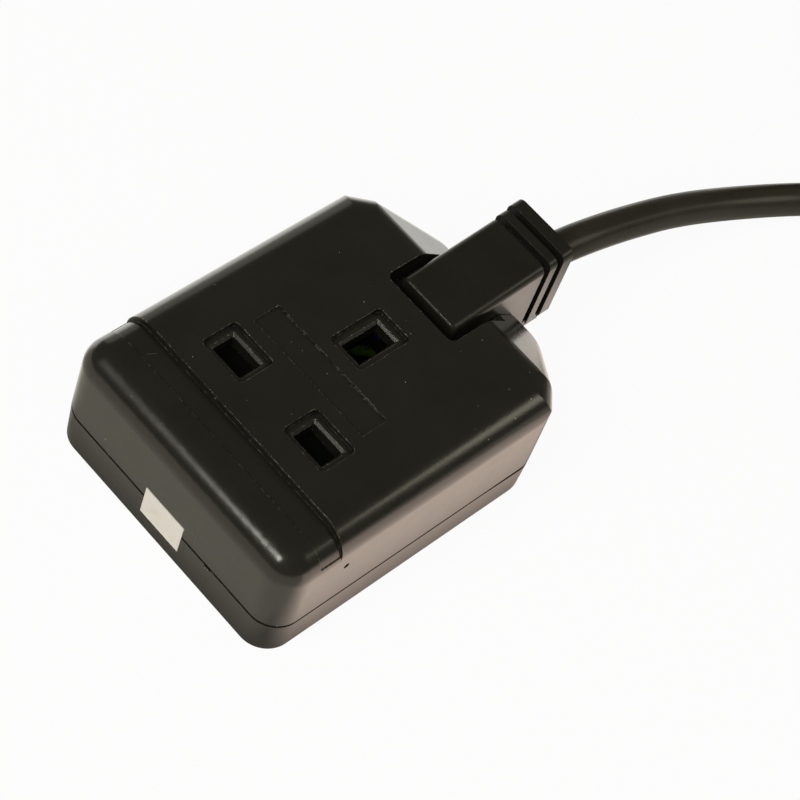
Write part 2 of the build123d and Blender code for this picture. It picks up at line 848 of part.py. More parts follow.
def cable_lead():
    """The cable from the boot to the coil."""
    exits = [(0, boot_rear_y, cable_height), (0, boot_rear_y + lead_straight, cable_height)]
    route = [(x, boot_rear_y + y, z) for x, y, z in lead_route]
    entry = around_coil(coil_entry_angle, coil_outer - cable_diameter / 2)
    points = exits + route + [(*entry, coil_lift + cable_diameter / 2)]
    radii = bends(points)
    print("lead radii", [round(r, 1) for r in radii])
    return tube(points, radii, cable_diameter)


def plug_plan(inset=0.0):
    """The plug seen from its pin face."""
    radius = max(plug_corner_radius - inset, least_radius)
    return RectangleRounded(plug_width - 2 * inset, plug_length - 2 * inset, radius)


def plug_pins():
    """Places and sizes of the pins: line, neutral, earth."""
    live = (live_pin_width, live_pin_length, live_pin_reach)
    earth = (earth_pin_width, earth_pin_length, earth_pin_reach)
    return [
        ("plug_line_pin", live_x, pin_face_y, *live),
        ("plug_neutral_pin", -live_x, pin_face_y, *live),
        ("plug_earth_pin", 0.0, pin_face_y - pin_rise, *earth),
    ]


def cable_way():
    """What the cable takes out of the plug's end wall."""
    return rod(0, plug_parting, grip_y - grip_length, plug_length, cable_diameter + 2 * clearance)


def plug_body():
    """The pin side of the plug: face, walls and pin holes."""
    body = slab(plug_plan(), plug_parting, plug_height)
    body = fillet(body.faces().sort_by(Axis.Z)[-1].edges(), least_radius)
    body -= slab(plug_plan(plug_wall), plug_parting - past, plug_height - plug_face_wall)
    for _, x, y, width, length, _ in plug_pins():
        hole = Rectangle(width + 2 * clearance, length + 2 * clearance)
        body -= Pos(x, y, 0) * slab(hole, plug_parting, plug_height + past)
    screw_top = plug_height - screw_head_height
    body += peg(0, 0, plug_parting + clearance, plug_height - root, boss_diameter)
    body -= peg(0, 0, plug_parting, plug_height + past, screw_diameter + 2 * clearance)
    body -= peg(0, 0, screw_top, plug_height + past, screw_head_diameter + 2 * clearance)
    return body - cable_way()


def plug_cover():
    """The back of the plug, narrower towards its flat back."""
    body = loft([plug_plan(plug_back_inset), Pos(0, 0, plug_parting) * plug_plan()])
    body = fillet(body.faces().sort_by(Axis.Z)[0].edges(), least_radius)
    deep = Pos(0, 0, plug_wall) * plug_plan(plug_back_inset + plug_wall)
    body -= loft([deep, Pos(0, 0, plug_parting) * plug_plan(plug_wall)])
    body += peg(0, 0, plug_wall - root, plug_parting, boss_diameter)
    body -= peg(0, 0, plug_wall, plug_parting + past, screw_diameter + 2 * clearance)
    return body - cable_way()


def plug_pin(x, y, width, length, reach, sleeved):
    """One pin with its foot inside the plug."""
    inside = plug_height - plug_face_wall
    tip = plug_height + reach
    pin = Pos(x, y, 0) * slab(Rectangle(width, length), inside, tip)
    pin = chamfer(pin.faces().sort_by(Axis.Z)[-1].edges(), pin_tip_chamfer)
    if sleeved:
        core = Rectangle(width - 2 * sleeve_thickness, length - 2 * sleeve_thickness)
        ring = Rectangle(width, length) - core
        pin -= Pos(x, y, 0) * slab(ring, plug_height, plug_height + sleeve_reach)
    half = pin_foot / 2
    foot = box((x - half, x + half), (y - half, y + half), (inside - pin_foot, inside))
    wire = inside - pin_foot + half
    foot -= rod(x, wire, y - half - past, y + half + past, core_diameter)
    foot -= peg(x, y, inside - pin_foot - past, wire, terminal_screw_diameter + 2 * clearance)
    return pin + foot


def pin_sleeves():
    """Insulating sleeves on the roots of the two live pins."""
    sleeves = Part()
    for _, x, y, width, length, _ in plug_pins()[:2]:
        core = Rectangle(width - 2 * sleeve_thickness, length - 2 * sleeve_thickness)
        ring = Rectangle(width, length) - core
        sleeves += Pos(x, y, 0) * slab(ring, plug_height, plug_height + sleeve_reach)
    return sleeves


def fuse_middle():
    """The height of the fuse inside the plug."""
    return plug_height - plug_face_wall - brass_thickness / 2 - fuse_diameter / 2


def plug_fuse():
    """The cartridge fuse, along the plug on its line side."""
    ends = (fuse_y - fuse_length / 2, fuse_y + fuse_length / 2)
    return rod(fuse_x, fuse_middle(), *ends, fuse_diameter)


def fuse_clips():
    """Two clips that hold the fuse by its end caps."""
    top = plug_height - plug_face_wall - brass_thickness / 4
    side = fuse_diameter / 2 + clearance + brass_thickness / 4
    low = fuse_middle() - fuse_diameter / 4
    profile = strip([(-side, low), (-side, top), (side, top), (side, low)], brass_thickness / 2)
    clips = Part()
    for sign in (-1, 1):
        y = fuse_y + sign * (fuse_length / 2 - fuse_clip_edge)
        clips += Pos(fuse_x, y, 0) * extrude(Plane.XZ * profile, fuse_clip_width / 2, both=True)
    return clips


def plug_terminal_screws():
    """Grub screws under the three pin feet."""
    inside = plug_height - plug_face_wall
    screws = Part()
    for _, x, y, _, _, _ in plug_pins():
        low = inside - pin_foot
        top = low + pin_foot / 2 - conductor_diameter / 2 - clearance
        screw = peg(x, y, low, top, terminal_screw_diameter)
        screws += screw - Pos(x, y, low) * Box(drive_width, terminal_screw_diameter, drive_depth / 2)
    return screws


def plug_cover_screw():
    """The screw that holds the plug's two halves together, from the pin face."""
    seat = plug_height - screw_head_height
    top = plug_height - plug_screw_sink
    screw = peg(0, 0, plug_wall + past, seat, screw_diameter)
    screw += peg(0, 0, seat, top, screw_head_diameter)
    slot = Pos(0, 0, top) * Box(screw_head_diameter, drive_width, drive_depth)
    return screw - slot


def plug_cord_grip():
    """The bar that clamps the cable inside the plug."""
    half = grip_width / 2
    low = plug_parting - cable_diameter / 2 - grip_thickness
    ends = (grip_y - grip_length / 2, grip_y + grip_length / 2)
    bar = box((-half, half), ends, (low, plug_parting - past))
    bar -= rod(0, plug_parting, ends[0] - past, ends[1] + past, cable_diameter + 2 * clearance)
    for side in (-1, 1):
        hole = small_screw_diameter + 2 * clearance
        bar -= peg(side * (half - grip_screw_edge), grip_y, low - past, plug_parting, hole)
    return bar


def grip_screws():
    """Two small screws through the cord grip."""
    low = plug_parting - cable_diameter / 2 - grip_thickness
    screws = Part()
    for side in (-1, 1):
        x = side * (grip_width / 2 - grip_screw_edge)
        screws += slotted_screw(
            x, grip_y, plug_parting + grip_screw_edge, low,
            small_head_diameter, small_head_height / 2, small_screw_diameter,
        )
    return screws


def plug_sheath():
    """The cable's sheath inside the plug, on from the tail's end."""
    run_end = tail_radius * math.tan(math.radians(tail_step / 2))
    return rod(0, plug_parting, grip_y - grip_length / 2, plug_length / 2 - run_end, cable_diameter)


def plug_cores():
    """The plug's cores, from the sheath to the pins."""
    start_y = grip_y - grip_length / 2
    wire = plug_height - plug_face_wall - pin_foot / 2
    aside = boss_diameter / 2 + 2 * core_diameter
    cores = {}
    for name, x, y, _, _, _ in plug_pins():
        side = (x > 0) - (x < 0)
        near = y + pin_foot / 2
        if side:
            out, ahead, below = plug_core_fan
            points = [
                (side * core_spread, start_y + plug_core_lap, plug_parting + core_rise),
                (side * out, start_y - ahead, wire - below),
                (x, near + plug_core_run, wire),
                (x, near, wire),
            ]
        else:
            start_z = plug_parting - core_drop
            points = [
                (0, start_y + plug_core_lap, start_z),
                (0, start_y - plug_earth_turn, start_z),
                (-aside, plug_earth_side, wire - plug_earth_dip),
                (x, near + plug_earth_run, wire),
                (x, near, wire),
            ]
        solid = tube(points, bends(points), core_diameter) - plug_sheath()
        solid += rod(x, wire, near - pin_foot + past, near, conductor_diameter)
        cores[name.replace("pin", "core")] = solid
    return cores


parts = {
    "top_cover": top_cover(),
    "base": base(),
    "cover_screws": cover_screws(),
    "cable_boot": cable_boot(),
    "rating_label": rating_label(),
    "shutter": shutter(),
    "shutter_spring": shutter_spring(),
    "shutter_retainer": shutter_retainer(),
    "retainer_screws": retainer_screws(),
    "line_contact": live_contact(1),
    "neutral_contact": live_contact(-1),
    "earth_contact": earth_contact(),
    "terminal_screws": terminal_screws(),
    "inner_sheath": inner_sheath(),
    **socket_cores(),
    "cable_lead": cable_lead(),
    "cable_coil": cable_coil(),
    "coil_tie": coil_tie(),
    "cable_tail": cable_tail(),
}

plug = {
    "plug_body": plug_body(),
    "plug_cover": plug_cover(),
    "pin_sleeves": pin_sleeves(),
    "plug_fuse": plug_fuse(),
    "fuse_clips": fuse_clips(),
    "plug_terminal_screws": plug_terminal_screws(),
    "plug_cover_screw": plug_cover_screw(),
    "plug_cord_grip": plug_cord_grip(),
    "grip_screws": grip_screws(),
    "plug_sheath": plug_sheath(),
    **plug_cores(),
}
for name, x, y, width, length, reach in plug_pins():
    plug[name] = plug_pin(x, y, width, length, reach, x != 0)
for name, shape in plug.items():
    parts[name] = plug_place() * shape

os.makedirs("parts", exist_ok=True)
for name, shape in parts.items():
    export_step(shape, f"parts/{name}.step")
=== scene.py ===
import math

import bpy
from mathutils import Matrix, Vector


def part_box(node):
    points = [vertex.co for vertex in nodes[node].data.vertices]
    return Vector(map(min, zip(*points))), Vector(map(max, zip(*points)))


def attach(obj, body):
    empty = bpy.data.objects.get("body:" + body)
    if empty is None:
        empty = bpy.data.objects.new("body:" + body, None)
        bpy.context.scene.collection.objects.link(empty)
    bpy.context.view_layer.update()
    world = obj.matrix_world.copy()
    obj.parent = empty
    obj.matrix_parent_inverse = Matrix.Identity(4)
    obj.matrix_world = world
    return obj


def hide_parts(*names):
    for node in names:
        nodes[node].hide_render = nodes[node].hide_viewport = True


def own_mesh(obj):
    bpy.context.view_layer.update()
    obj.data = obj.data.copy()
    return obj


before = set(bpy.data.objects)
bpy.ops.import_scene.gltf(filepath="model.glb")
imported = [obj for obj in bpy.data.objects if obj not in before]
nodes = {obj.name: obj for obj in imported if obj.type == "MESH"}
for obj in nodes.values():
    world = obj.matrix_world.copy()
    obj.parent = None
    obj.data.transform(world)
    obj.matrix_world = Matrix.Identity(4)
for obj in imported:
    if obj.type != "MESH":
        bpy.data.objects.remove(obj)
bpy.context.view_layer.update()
MM = 0.001

# The photograph's camera in the part's frame: place in metres, then its right, down and forward axes
CAMERA_PLACE = (0.1440847, -0.2348027, 0.3905254)
CAMERA_RIGHT = (0.6567013, 0.7180300, 0.2305998)
CAMERA_DOWN = (0.6958159, -0.4589646, -0.5524416)
CAMERA_AHEAD = (-0.2908325, 0.5232441, -0.8010194)
LENS_MM = 114.262
SENSOR_MM = 36.0
NEAREST_SEEN_M = 0.01

# The cable's route in millimetres: the lead, then the coil's turns, then the rise into the plug
CABLE = 7.0
LEAD = [
    (0.0, 50.9, 20.0),
    (0.5, 56.0, 20.1),
    (1.3, 63.5, 19.7),
    (2.2, 75.5, 16.9),
    (4.2, 91.5, 12.9),
    (8.0, 108.5, 7.8),
    (14.2, 125.7, 4.3),
    (24.5, 141.9, 4.2),
    (35.8, 154.4, 4.5),
]
COIL_MIDDLE = (18.5, 194.5)
# In degrees, where the coil starts and how far apart its control points are
COIL_START = -45.0
COIL_STEP = 22.5
# Radii and heights of the coil's turns, which lie beside and on each other, one cable apart
INNER = 29.0
BETWEEN = INNER + CABLE
OUTER = BETWEEN + CABLE
LOW = 4.5
HALFWAY = LOW + CABLE
HIGH = HALFWAY + CABLE
# Degrees wound, radius and height, with a smooth change between one row and the next
WINDING = [
    (0.0, OUTER, LOW),
    (292.5, OUTER, LOW),
    (360.0, BETWEEN, LOW),
    (652.5, BETWEEN, LOW),
    (720.0, INNER, LOW),
    (922.5, INNER, LOW),
    (1012.5, INNER, HALFWAY),
    (1215.0, INNER, HALFWAY),
    (1282.5, BETWEEN, HALFWAY),
    (1575.0, BETWEEN, HALFWAY),
    (1642.5, OUTER, HALFWAY),
    (1867.5, OUTER, HALFWAY),
    (1935.0, OUTER, HIGH),
    (2160.0, OUTER, HIGH),
    (2227.5, BETWEEN, HIGH),
    (2520.0, BETWEEN, HIGH),
    (2587.5, INNER, HIGH),
    (2835.0, INNER, HIGH),
]
# Heights of the control points of the rise, and the cable's end in the plug
RISE = [HIGH, 18.9, 20.1, 22.1, 24.7, 27.4, 29.8, 31.5, 32.0]
PLUG_ENTRY = (12.73, 223.5, 32.0)

# The shutter's spring: its wire in millimetres, its turns and the control points of each turn
SPRING_WIRE = 0.45
SPRING_TURNS = 5
SPRING_STEPS = 12

# Where most values of a fractal noise lie
NOISE_SPAN = (0.3, 0.7)

# How far a moulded plastic's roughness strays, and how much smoother its skin is
ROUGHNESS_STRAYS = 0.05
SKIN_SMOOTHER = 0.06

# The housing's colours, here and below as linear red, green and blue
HOUSING_DARK = (0.0092, 0.0087, 0.0056)
HOUSING_LIGHT = (0.0128, 0.0121, 0.0084)
# Painted shade for the housing's corners, steps, slots and the joint between cover and base
HOUSING_PAINTED_SHADE = (0.0020, 0.0019, 0.0010)
HOUSING_WORN = (0.34, 0.31, 0.23)
DUST_COLOUR = (0.45, 0.42, 0.34)
SCRATCH_COLOUR = (0.10, 0.095, 0.07)

# Two sizes of dust: cell in millimetres, share of the cells that hold a speck, and its radius in cells
DUST = ((2.6, 0.7, 0.055), (6.5, 0.8, 0.032))

# Two sets of scratches: direction in degrees, and share of the cells that hold one
SCRATCHES = ((-62.0, 0.08), (24.0, 0.05))

# The housing's gloss with its handling marks, and how much of it and of its own colour a closed corner
# keeps under the painted shade
SMEAR_SPAN = (0.3, 0.75)
HOUSING_ROUGHNESS = (0.20, 0.30)
HOUSING_COAT_ROUGHNESS = 0.16
HOUSING_IOR = 1.6
CORNER_ROUGHER = 0.6
CORNER_KEEPS = 0.1

# Where the grained top begins, behind the front cap, which has a fainter grain
CAP_END_M = -0.0261
CAP_FADE_M = 0.0002
CAP_GRAIN = 0.45

# The joint between cover and base, where the gap's shade is painted: its upper edge and its depth, which
# grows between two places towards the cable
SEAM_M = 0.0092
SEAM_OPENS_M = (0.013, 0.039)
SEAM_DEPTH_M = (0.0005, 0.0016)
SEAM_FADE_OVER_M = 0.0001
SEAM_FADE_UNDER_M = 0.0002

# The label's paper
PAPER_DARK = (0.84, 0.79, 0.72)
PAPER_LIGHT = (0.89, 0.84, 0.77)
PAPER_SOILED = (0.62, 0.57, 0.48)

# How dark a stain makes a metal, and how its scratches change its roughness
STAIN = 0.8
METAL_SMOOTHER = 0.08
METAL_ROUGHER = 0.1

# The floor, and how much of its white covers its shading for the camera and for reflections
FLOOR_HALF_M = 3.0
FLOOR_COLOUR = (0.86, 0.86, 0.86)
FLOOR_WHITE = 0.94

# The floor's colours in reflections, with painted light and shade: dim with painted shade before the
# part and far behind it, pale at its left and warm with painted light at its right, with the places
# where one passes into the other
FLOOR_DIM = (0.35, 0.325, 0.265)
FLOOR_PALE = (1.0, 0.985, 0.92)
FLOOR_WARM = (1.0, 0.80, 0.67)
FLOOR_WARMS_M = (-0.02, 0.03)
FLOOR_BRIGHTENS_M = (-0.040, -0.026)
FLOOR_DIMS_M = (0.13, 0.16)

# The shade that reflections show on the floor at the housing's foot and below the cable
BLACK = (0.0, 0.0, 0.0)
FOOT_SHADE_M = 0.006
FOOT_LIT = 0.36
FOOT_SHADE_ENDS_M = (0.045, 0.055)
CABLE_SHADE_X_M = (0.003, 0.011)
CABLE_SHADE_Y_M = (0.064, 0.074)

# The room that lights the part from all round, and the white behind it
ROOM_COLOUR = (0.078, 0.076, 0.060)
WHITE = (1, 1, 1)

# What the lamps are aimed at, and for each its name, direction from there, distance and size in
# metres, power in watts, colour, and whether glossy surfaces mirror it
LAMP_AIM_M = (0, 0, 0.02)
LAMPS = [
    ("fill", (0.2, -0.6, 0.75), 1.6, 1.5, 21.0, (1.0, 0.98, 0.94), False),
    ("spot", (-0.13, -0.78, 0.70), 1.2, 0.32, 1.8, (1.0, 0.98, 0.88), True),
    ("front", (-0.3, -0.74, 0.6), 1.4, 0.7, 0.22, (1.0, 0.98, 0.82), True),
    ("side", (0.57, 0.655, 0.50), 1.4, 0.5, 1.15, (1.0, 0.95, 0.75), True),
    ("back", (-0.85, 0.5, 0.2), 1.4, 0.7, 0.42, (1.0, 0.96, 0.85), True),
]


def new_material(name):
    """A new material, its node tree and its principled shader."""
    material = bpy.data.materials.new(name)
    material.use_nodes = True
    tree = material.node_tree
    return material, tree, tree.nodes["Principled BSDF"]


def add(tree, kind, inputs=None, **settings):
    """One node with its settings, and with each input linked or set to a value."""
    node = tree.nodes.new(kind)
    for key, value in settings.items():
        setattr(node, key, value)
    for key, value in (inputs or {}).items():
        if isinstance(value, bpy.types.NodeSocket):
            tree.links.new(value, node.inputs[key])
        else:
            node.inputs[key].default_value = value
    return node


def noise(tree, place, size_mm, detail=3.0, rough=0.55):
    """Fractal noise whose lumps are about size_mm across."""
    inputs = {"Vector": place, "Scale": 1 / (size_mm * MM), "Detail": detail, "Roughness": rough}
    return add(tree, "ShaderNodeTexNoise", inputs).outputs["Fac"]


def ramp(tree, value, low, high, to_low=0.0, to_high=1.0):
    """A value carried from one range to another, and held at its ends."""
    inputs = {"Value": value, "From Min": low, "From Max": high, "To Min": to_low, "To Max": to_high}
    return add(tree, "ShaderNodeMapRange", inputs).outputs["Result"]


def math_node(tree, operation, a, b=0.0):
    """One operation on one or two values."""
    return add(tree, "ShaderNodeMath", {0: a, 1: b}, operation=operation).outputs[0]


def with_alpha(colour):
    """A linked colour as it is, or red, green and blue made opaque."""
    return colour if isinstance(colour, bpy.types.NodeSocket) else (*colour, 1)


def mix_colour(tree, share, a, b):
    """Two colours mixed by a share."""
    # The node's sockets for numbers and vectors come first: 6 and 7 are the colours, 2 the mixed one
    inputs = {0: share, 6: with_alpha(a), 7: with_alpha(b)}
    return add(tree, "ShaderNodeMix", inputs, data_type="RGBA").outputs[2]


def place_of(tree):
    """Places on the object in metres."""
    return add(tree, "ShaderNodeTexCoord").outputs["Object"]


def axes_of(tree, place):
    """The three coordinates of a place."""
    return add(tree, "ShaderNodeSeparateXYZ", {"Vector": place}).outputs


def scattered(tree, place, cell_mm, share, radius):
    """Spots in some of the cells that space is divided into, of a radius given in cells."""
    cells = add(tree, "ShaderNodeTexVoronoi", {"Vector": place, "Scale": 1 / (cell_mm * MM)})
    own = add(tree, "ShaderNodeSeparateColor", {"Color": cells.outputs["Color"]}).outputs
    size = ramp(tree, own["Green"], 0.0, 1.0, to_low=0.4 * radius, to_high=radius)
    inside = math_node(tree, "LESS_THAN", cells.outputs["Distance"], size)
    chosen = math_node(tree, "LESS_THAN", own["Red"], share)
    strength = ramp(tree, own["Blue"], 0.0, 1.0, to_low=0.25)
    return math_node(tree, "MULTIPLY", math_node(tree, "MULTIPLY", inside, chosen), strength)


def scratched(tree, place, degrees, share):
    """Short straight scratches that lie along one direction from above."""
    turned = add(tree, "ShaderNodeMapping", {"Vector": place, "Rotation": (0, 0, math.radians(degrees))})
    inputs = {"Vector": turned.outputs[0], "Scale": (0.05, 1.0, 1.0)}
    stretched = add(tree, "ShaderNodeMapping", inputs).outputs[0]
    return scattered(tree, stretched, cell_mm=0.9, share=share, radius=0.09)


def open_share(tree, reach_mm):
    """1 on open surfaces, and less in corners, steps and slots, where the housing's shade is painted."""
    inputs = {"Distance": reach_mm * MM}
    seen = add(tree, "ShaderNodeAmbientOcclusion", inputs, samples=6, only_local=True).outputs["AO"]
    return ramp(tree, seen, low=0.35, high=0.85, to_low=CORNER_KEEPS)


def worn_edges(tree, place, reach_mm):
    """Specks of wear along sharp edges, where the softened normal turns from the face's own."""
    soft = add(tree, "ShaderNodeBevel", {"Radius": reach_mm * MM}, samples=4).outputs["Normal"]
    own = tree.nodes.new("ShaderNodeNewGeometry").outputs["Normal"]
    turn = add(tree, "ShaderNodeVectorMath", {0: soft, 1: own}, operation="DOT_PRODUCT").outputs["Value"]
    on_edge = ramp(tree, turn, low=0.98, high=0.88)
    specks = ramp(tree, noise(tree, place, size_mm=0.7, rough=0.7), low=0.50, high=0.66)
    return math_node(tree, "MULTIPLY", on_edge, specks)


def clear_of_seam_shade(tree, axes):
    """1 away from the joint between cover and base, and less in it, where the gap's shade is painted."""
    below = math_node(tree, "SUBTRACT", SEAM_M, axes["Z"])
    depth = ramp(tree, axes["Y"], *SEAM_OPENS_M, *SEAM_DEPTH_M)
    below_seam = math_node(tree, "SUBTRACT", below, depth)
    under = ramp(tree, below_seam, 0.0, SEAM_FADE_UNDER_M, to_low=CORNER_KEEPS)
    over = ramp(tree, below, 0.0, -SEAM_FADE_OVER_M, to_low=CORNER_KEEPS)
    return math_node(tree, "MAXIMUM", under, over)


def finish_surface(tree, shader, height, depth_mm, edge_mm=0.0):
    """Grain and softened edges, on the material and on its coat."""
    inputs = {"Height": height, "Distance": depth_mm * MM, "Strength": 1.0}
    if edge_mm:
        soft = add(tree, "ShaderNodeBevel", {"Radius": edge_mm * MM}, samples=4)
        inputs["Normal"] = soft.outputs["Normal"]
    bump = add(tree, "ShaderNodeBump", inputs)
    tree.links.new(bump.outputs["Normal"], shader.inputs["Normal"])
    tree.links.new(bump.outputs["Normal"], shader.inputs["Coat Normal"])


def moulded_plastic(
    name,
    dark,
    light,
    roughness=0.3,
    grain_mm=0.6,
    grain_depth_mm=0.006,
    skin=0.0,
    edge_mm=0.0,
    specular=0.5,
):
    """Moulded plastic: cloudy colour and gloss, fine grain and, where skin is set, a smoother skin."""
    material, tree, shader = new_material(name)
    place = place_of(tree)
    cloud = noise(tree, place, size_mm=14.0, detail=4.0)
    grain = noise(tree, place, grain_mm, detail=2.0, rough=0.7)
    colour = mix_colour(tree, ramp(tree, cloud, *NOISE_SPAN), dark, light)
    tree.links.new(colour, shader.inputs["Base Color"])
    gloss = ramp(tree, cloud, *NOISE_SPAN, roughness - ROUGHNESS_STRAYS, roughness + ROUGHNESS_STRAYS)
    tree.links.new(gloss, shader.inputs["Roughness"])
    shader.inputs["Specular IOR Level"].default_value = specular
    shader.inputs["Coat Weight"].default_value = skin
    shader.inputs["Coat Roughness"].default_value = roughness - SKIN_SMOOTHER
    finish_surface(tree, shader, grain, grain_depth_mm, edge_mm)
    return material


def housing_colour(tree, place, open_to_light):
    """Cloudy black, darker in corners and in the joint with painted shade, with worn edges, dust and
    scratches.
    """
    cloud = noise(tree, place, size_mm=12.0, detail=5.0, rough=0.6)
    colour = mix_colour(tree, ramp(tree, cloud, *NOISE_SPAN), HOUSING_DARK, HOUSING_LIGHT)
    # Painted shade in corners, steps, slots and the joint between cover and base
    colour = mix_colour(tree, open_to_light, HOUSING_PAINTED_SHADE, colour)
    worn = math_node(tree, "MULTIPLY", worn_edges(tree, place, reach_mm=0.3), open_to_light)
    colour = mix_colour(tree, worn, colour, HOUSING_WORN)
    for cell_mm, share, radius in DUST:
        colour = mix_colour(tree, scattered(tree, place, cell_mm, share, radius), colour, DUST_COLOUR)
    for degrees, share in SCRATCHES:
        colour = mix_colour(tree, scratched(tree, place, degrees, share), colour, SCRATCH_COLOUR)
    return colour


def housing_plastic():
    """The housing's black plastic: grained top, smoother cap, dust, scratches and handling marks."""
    material, tree, shader = new_material("housing_black")
    place = place_of(tree)
    axes = axes_of(tree, place)
    out_of_corners = open_share(tree, reach_mm=3.0)
    # Painted shade in corners and in the joint: the share of the housing's own colour, coat and gloss
    # that is left
    open_to_light = math_node(tree, "MULTIPLY", out_of_corners, clear_of_seam_shade(tree, axes))
    tree.links.new(housing_colour(tree, place, open_to_light), shader.inputs["Base Color"])
    smear = noise(tree, place, size_mm=5.0, detail=4.0, rough=0.65)
    gloss = ramp(tree, smear, *SMEAR_SPAN, *HOUSING_ROUGHNESS)
    duller = ramp(tree, open_to_light, CORNER_KEEPS, 1.0, to_low=CORNER_ROUGHER, to_high=0.0)
    tree.links.new(math_node(tree, "ADD", gloss, duller), shader.inputs["Roughness"])
    tree.links.new(open_to_light, shader.inputs["Coat Weight"])
    shader.inputs["Coat Roughness"].default_value = HOUSING_COAT_ROUGHNESS
    shader.inputs["IOR"].default_value = HOUSING_IOR
    shader.inputs["Coat IOR"].default_value = HOUSING_IOR
    grain = noise(tree, place, size_mm=0.34, detail=2.0, rough=0.7)
    on_top = ramp(tree, axes["Y"], CAP_END_M - CAP_FADE_M, CAP_END_M + CAP_FADE_M, to_low=CAP_GRAIN)
    height = math_node(tree, "MULTIPLY", grain, on_top)
    finish_surface(tree, shader, height, depth_mm=0.014, edge_mm=0.22)
    return material


def label_paper():
    """White label stock: faint fibres, uneven tone and a little soiling."""
    material, tree, shader = new_material("label_white")
    place = place_of(tree)
    fibre = noise(tree, place, size_mm=0.3, rough=0.7)
    soil = noise(tree, place, size_mm=3.0, detail=5.0, rough=0.6)
    colour = mix_colour(tree, ramp(tree, fibre, *NOISE_SPAN), PAPER_DARK, PAPER_LIGHT)
    soiled = ramp(tree, soil, low=0.52, high=0.8, to_high=0.5)
    colour = mix_colour(tree, soiled, colour, PAPER_SOILED)
    tree.links.new(colour, shader.inputs["Base Color"])
    gloss = ramp(tree, fibre, *NOISE_SPAN, to_low=0.5, to_high=0.62)
    tree.links.new(gloss, shader.inputs["Roughness"])
    finish_surface(tree, shader, fibre, depth_mm=0.01)
    return material


def metal(name, colour, roughness):
    """Plain drawn metal with fine scratches and slightly uneven colour."""
    material, tree, shader = new_material(name)
    place = place_of(tree)
    stretched = add(tree, "ShaderNodeMapping", {"Vector": place, "Scale": (1.0, 0.06, 1.0)}).outputs[0]
    scratch = noise(tree, stretched, size_mm=0.25, detail=2.0)
    stain = noise(tree, place, size_mm=4.0, detail=4.0)
    stained = tuple(c * STAIN for c in colour)
    tint = mix_colour(tree, ramp(tree, stain, low=0.35, high=0.7), stained, colour)
    tree.links.new(tint, shader.inputs["Base Color"])
    gloss = ramp(tree, scratch, *NOISE_SPAN, roughness - METAL_SMOOTHER, roughness + METAL_ROUGHER)
    tree.links.new(gloss, shader.inputs["Roughness"])
    shader.inputs["Metallic"].default_value = 1.0
    finish_surface(tree, shader, scratch, depth_mm=0.006, edge_mm=0.15)
    return material


def dress(material, *names):
    """Gives CAD nodes a material."""
    for name in names:
        slots = nodes[name].data.materials
        slots.clear()
        slots.append(material)


def smooth(share):
    """An even start and stop between 0 and 1."""
    return share * share * (3 - 2 * share)


def wound(degrees):
    """Radius and height of the cable's middle after it has wound so far."""
    for (a, r1, z1), (b, r2, z2) in zip(WINDING, WINDING[1:]):
        if degrees <= b:
            share = smooth((degrees - a) / (b - a))
            return r1 + share * (r2 - r1), z1 + share * (z2 - z1)
    return WINDING[-1][1:]


def coil_point(degrees, radius, height):
    """A control point just outside the turn, so that the curve follows the turn itself."""
    angle = math.radians(COIL_START + degrees)
    reach = radius / math.cos(math.radians(COIL_STEP / 2))
    x, y = COIL_MIDDLE
    return x + reach * math.cos(angle), y + reach * math.sin(angle), height


def cable_route():
    """All control points of the cable in millimetres."""
    points = list(LEAD)
    last, radius, _ = WINDING[-1]
    count = int(last / COIL_STEP)
    for i in range(count):
        degrees = (i - 0.5) * COIL_STEP
        points.append(coil_point(degrees, *wound(max(degrees, 0.0))))
    for i, height in enumerate(RISE):
        degrees = (count + i - 0.5) * COIL_STEP
        points.append(coil_point(degrees, radius, height))
    points.append(PLUG_ENTRY)
    return points


def spring_route():
    """Control points of the shutter's spring in millimetres, from its seat to the shutter."""
    low, high = (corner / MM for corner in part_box("shutter_spring"))
    reach = (high.x - low.x - SPRING_WIRE) / 2 / math.cos(math.pi / SPRING_STEPS)
    length = high.y - low.y - SPRING_WIRE
    count = SPRING_TURNS * SPRING_STEPS
    points = []
    for i in range(count + 1):
        angle = 2 * math.pi * i / SPRING_STEPS
        along = low.y + SPRING_WIRE / 2 + length * i / count
        x, z = reach * math.cos(angle), reach * math.sin(angle)
        points.append(((low.x + high.x) / 2 + x, along, (low.z + high.z) / 2 - z))
    return points


def round_curve(name, points, diameter, fineness):
    """A round curve along one smooth spline, with its points and diameter in millimetres."""
    data = bpy.data.curves.new(name, "CURVE")
    data.dimensions = "3D"
    data.bevel_depth = diameter / 2 * MM
    data.bevel_resolution = fineness
    data.use_fill_caps = True
    data.resolution_u = fineness
    spline = data.splines.new("NURBS")
    spline.points.add(len(points) - 1)
    for point, (x, y, z) in zip(spline.points, points):
        point.co = (x * MM, y * MM, z * MM, 1.0)
    spline.order_u = 3
    spline.use_endpoint_u = True
    curve = bpy.data.objects.new(name, data)
    bpy.context.scene.collection.objects.link(curve)
    return curve


def spring_mesh():
    """The shutter's spring as a round wire."""
    path = round_curve("spring_path", spring_route(), SPRING_WIRE, fineness=2)
    spring = bpy.data.objects.new("spring", bpy.data.meshes.new_from_object(path))
    bpy.context.scene.collection.objects.link(spring)
    bpy.data.objects.remove(path)
    return spring


def make_camera():
    """The photograph's view."""
    data = bpy.data.cameras.new("camera")
    data.lens = LENS_MM
    data.sensor_width = SENSOR_MM
    data.clip_start = NEAREST_SEEN_M
    camera = bpy.data.objects.new("camera", data)
    right, down, ahead = Vector(CAMERA_RIGHT), Vector(CAMERA_DOWN), Vector(CAMERA_AHEAD)
    turn = Matrix((right, -down, -ahead)).transposed().to_4x4()
    camera.matrix_world = Matrix.Translation(CAMERA_PLACE) @ turn
    bpy.context.scene.collection.objects.link(camera)
    bpy.context.scene.camera = camera


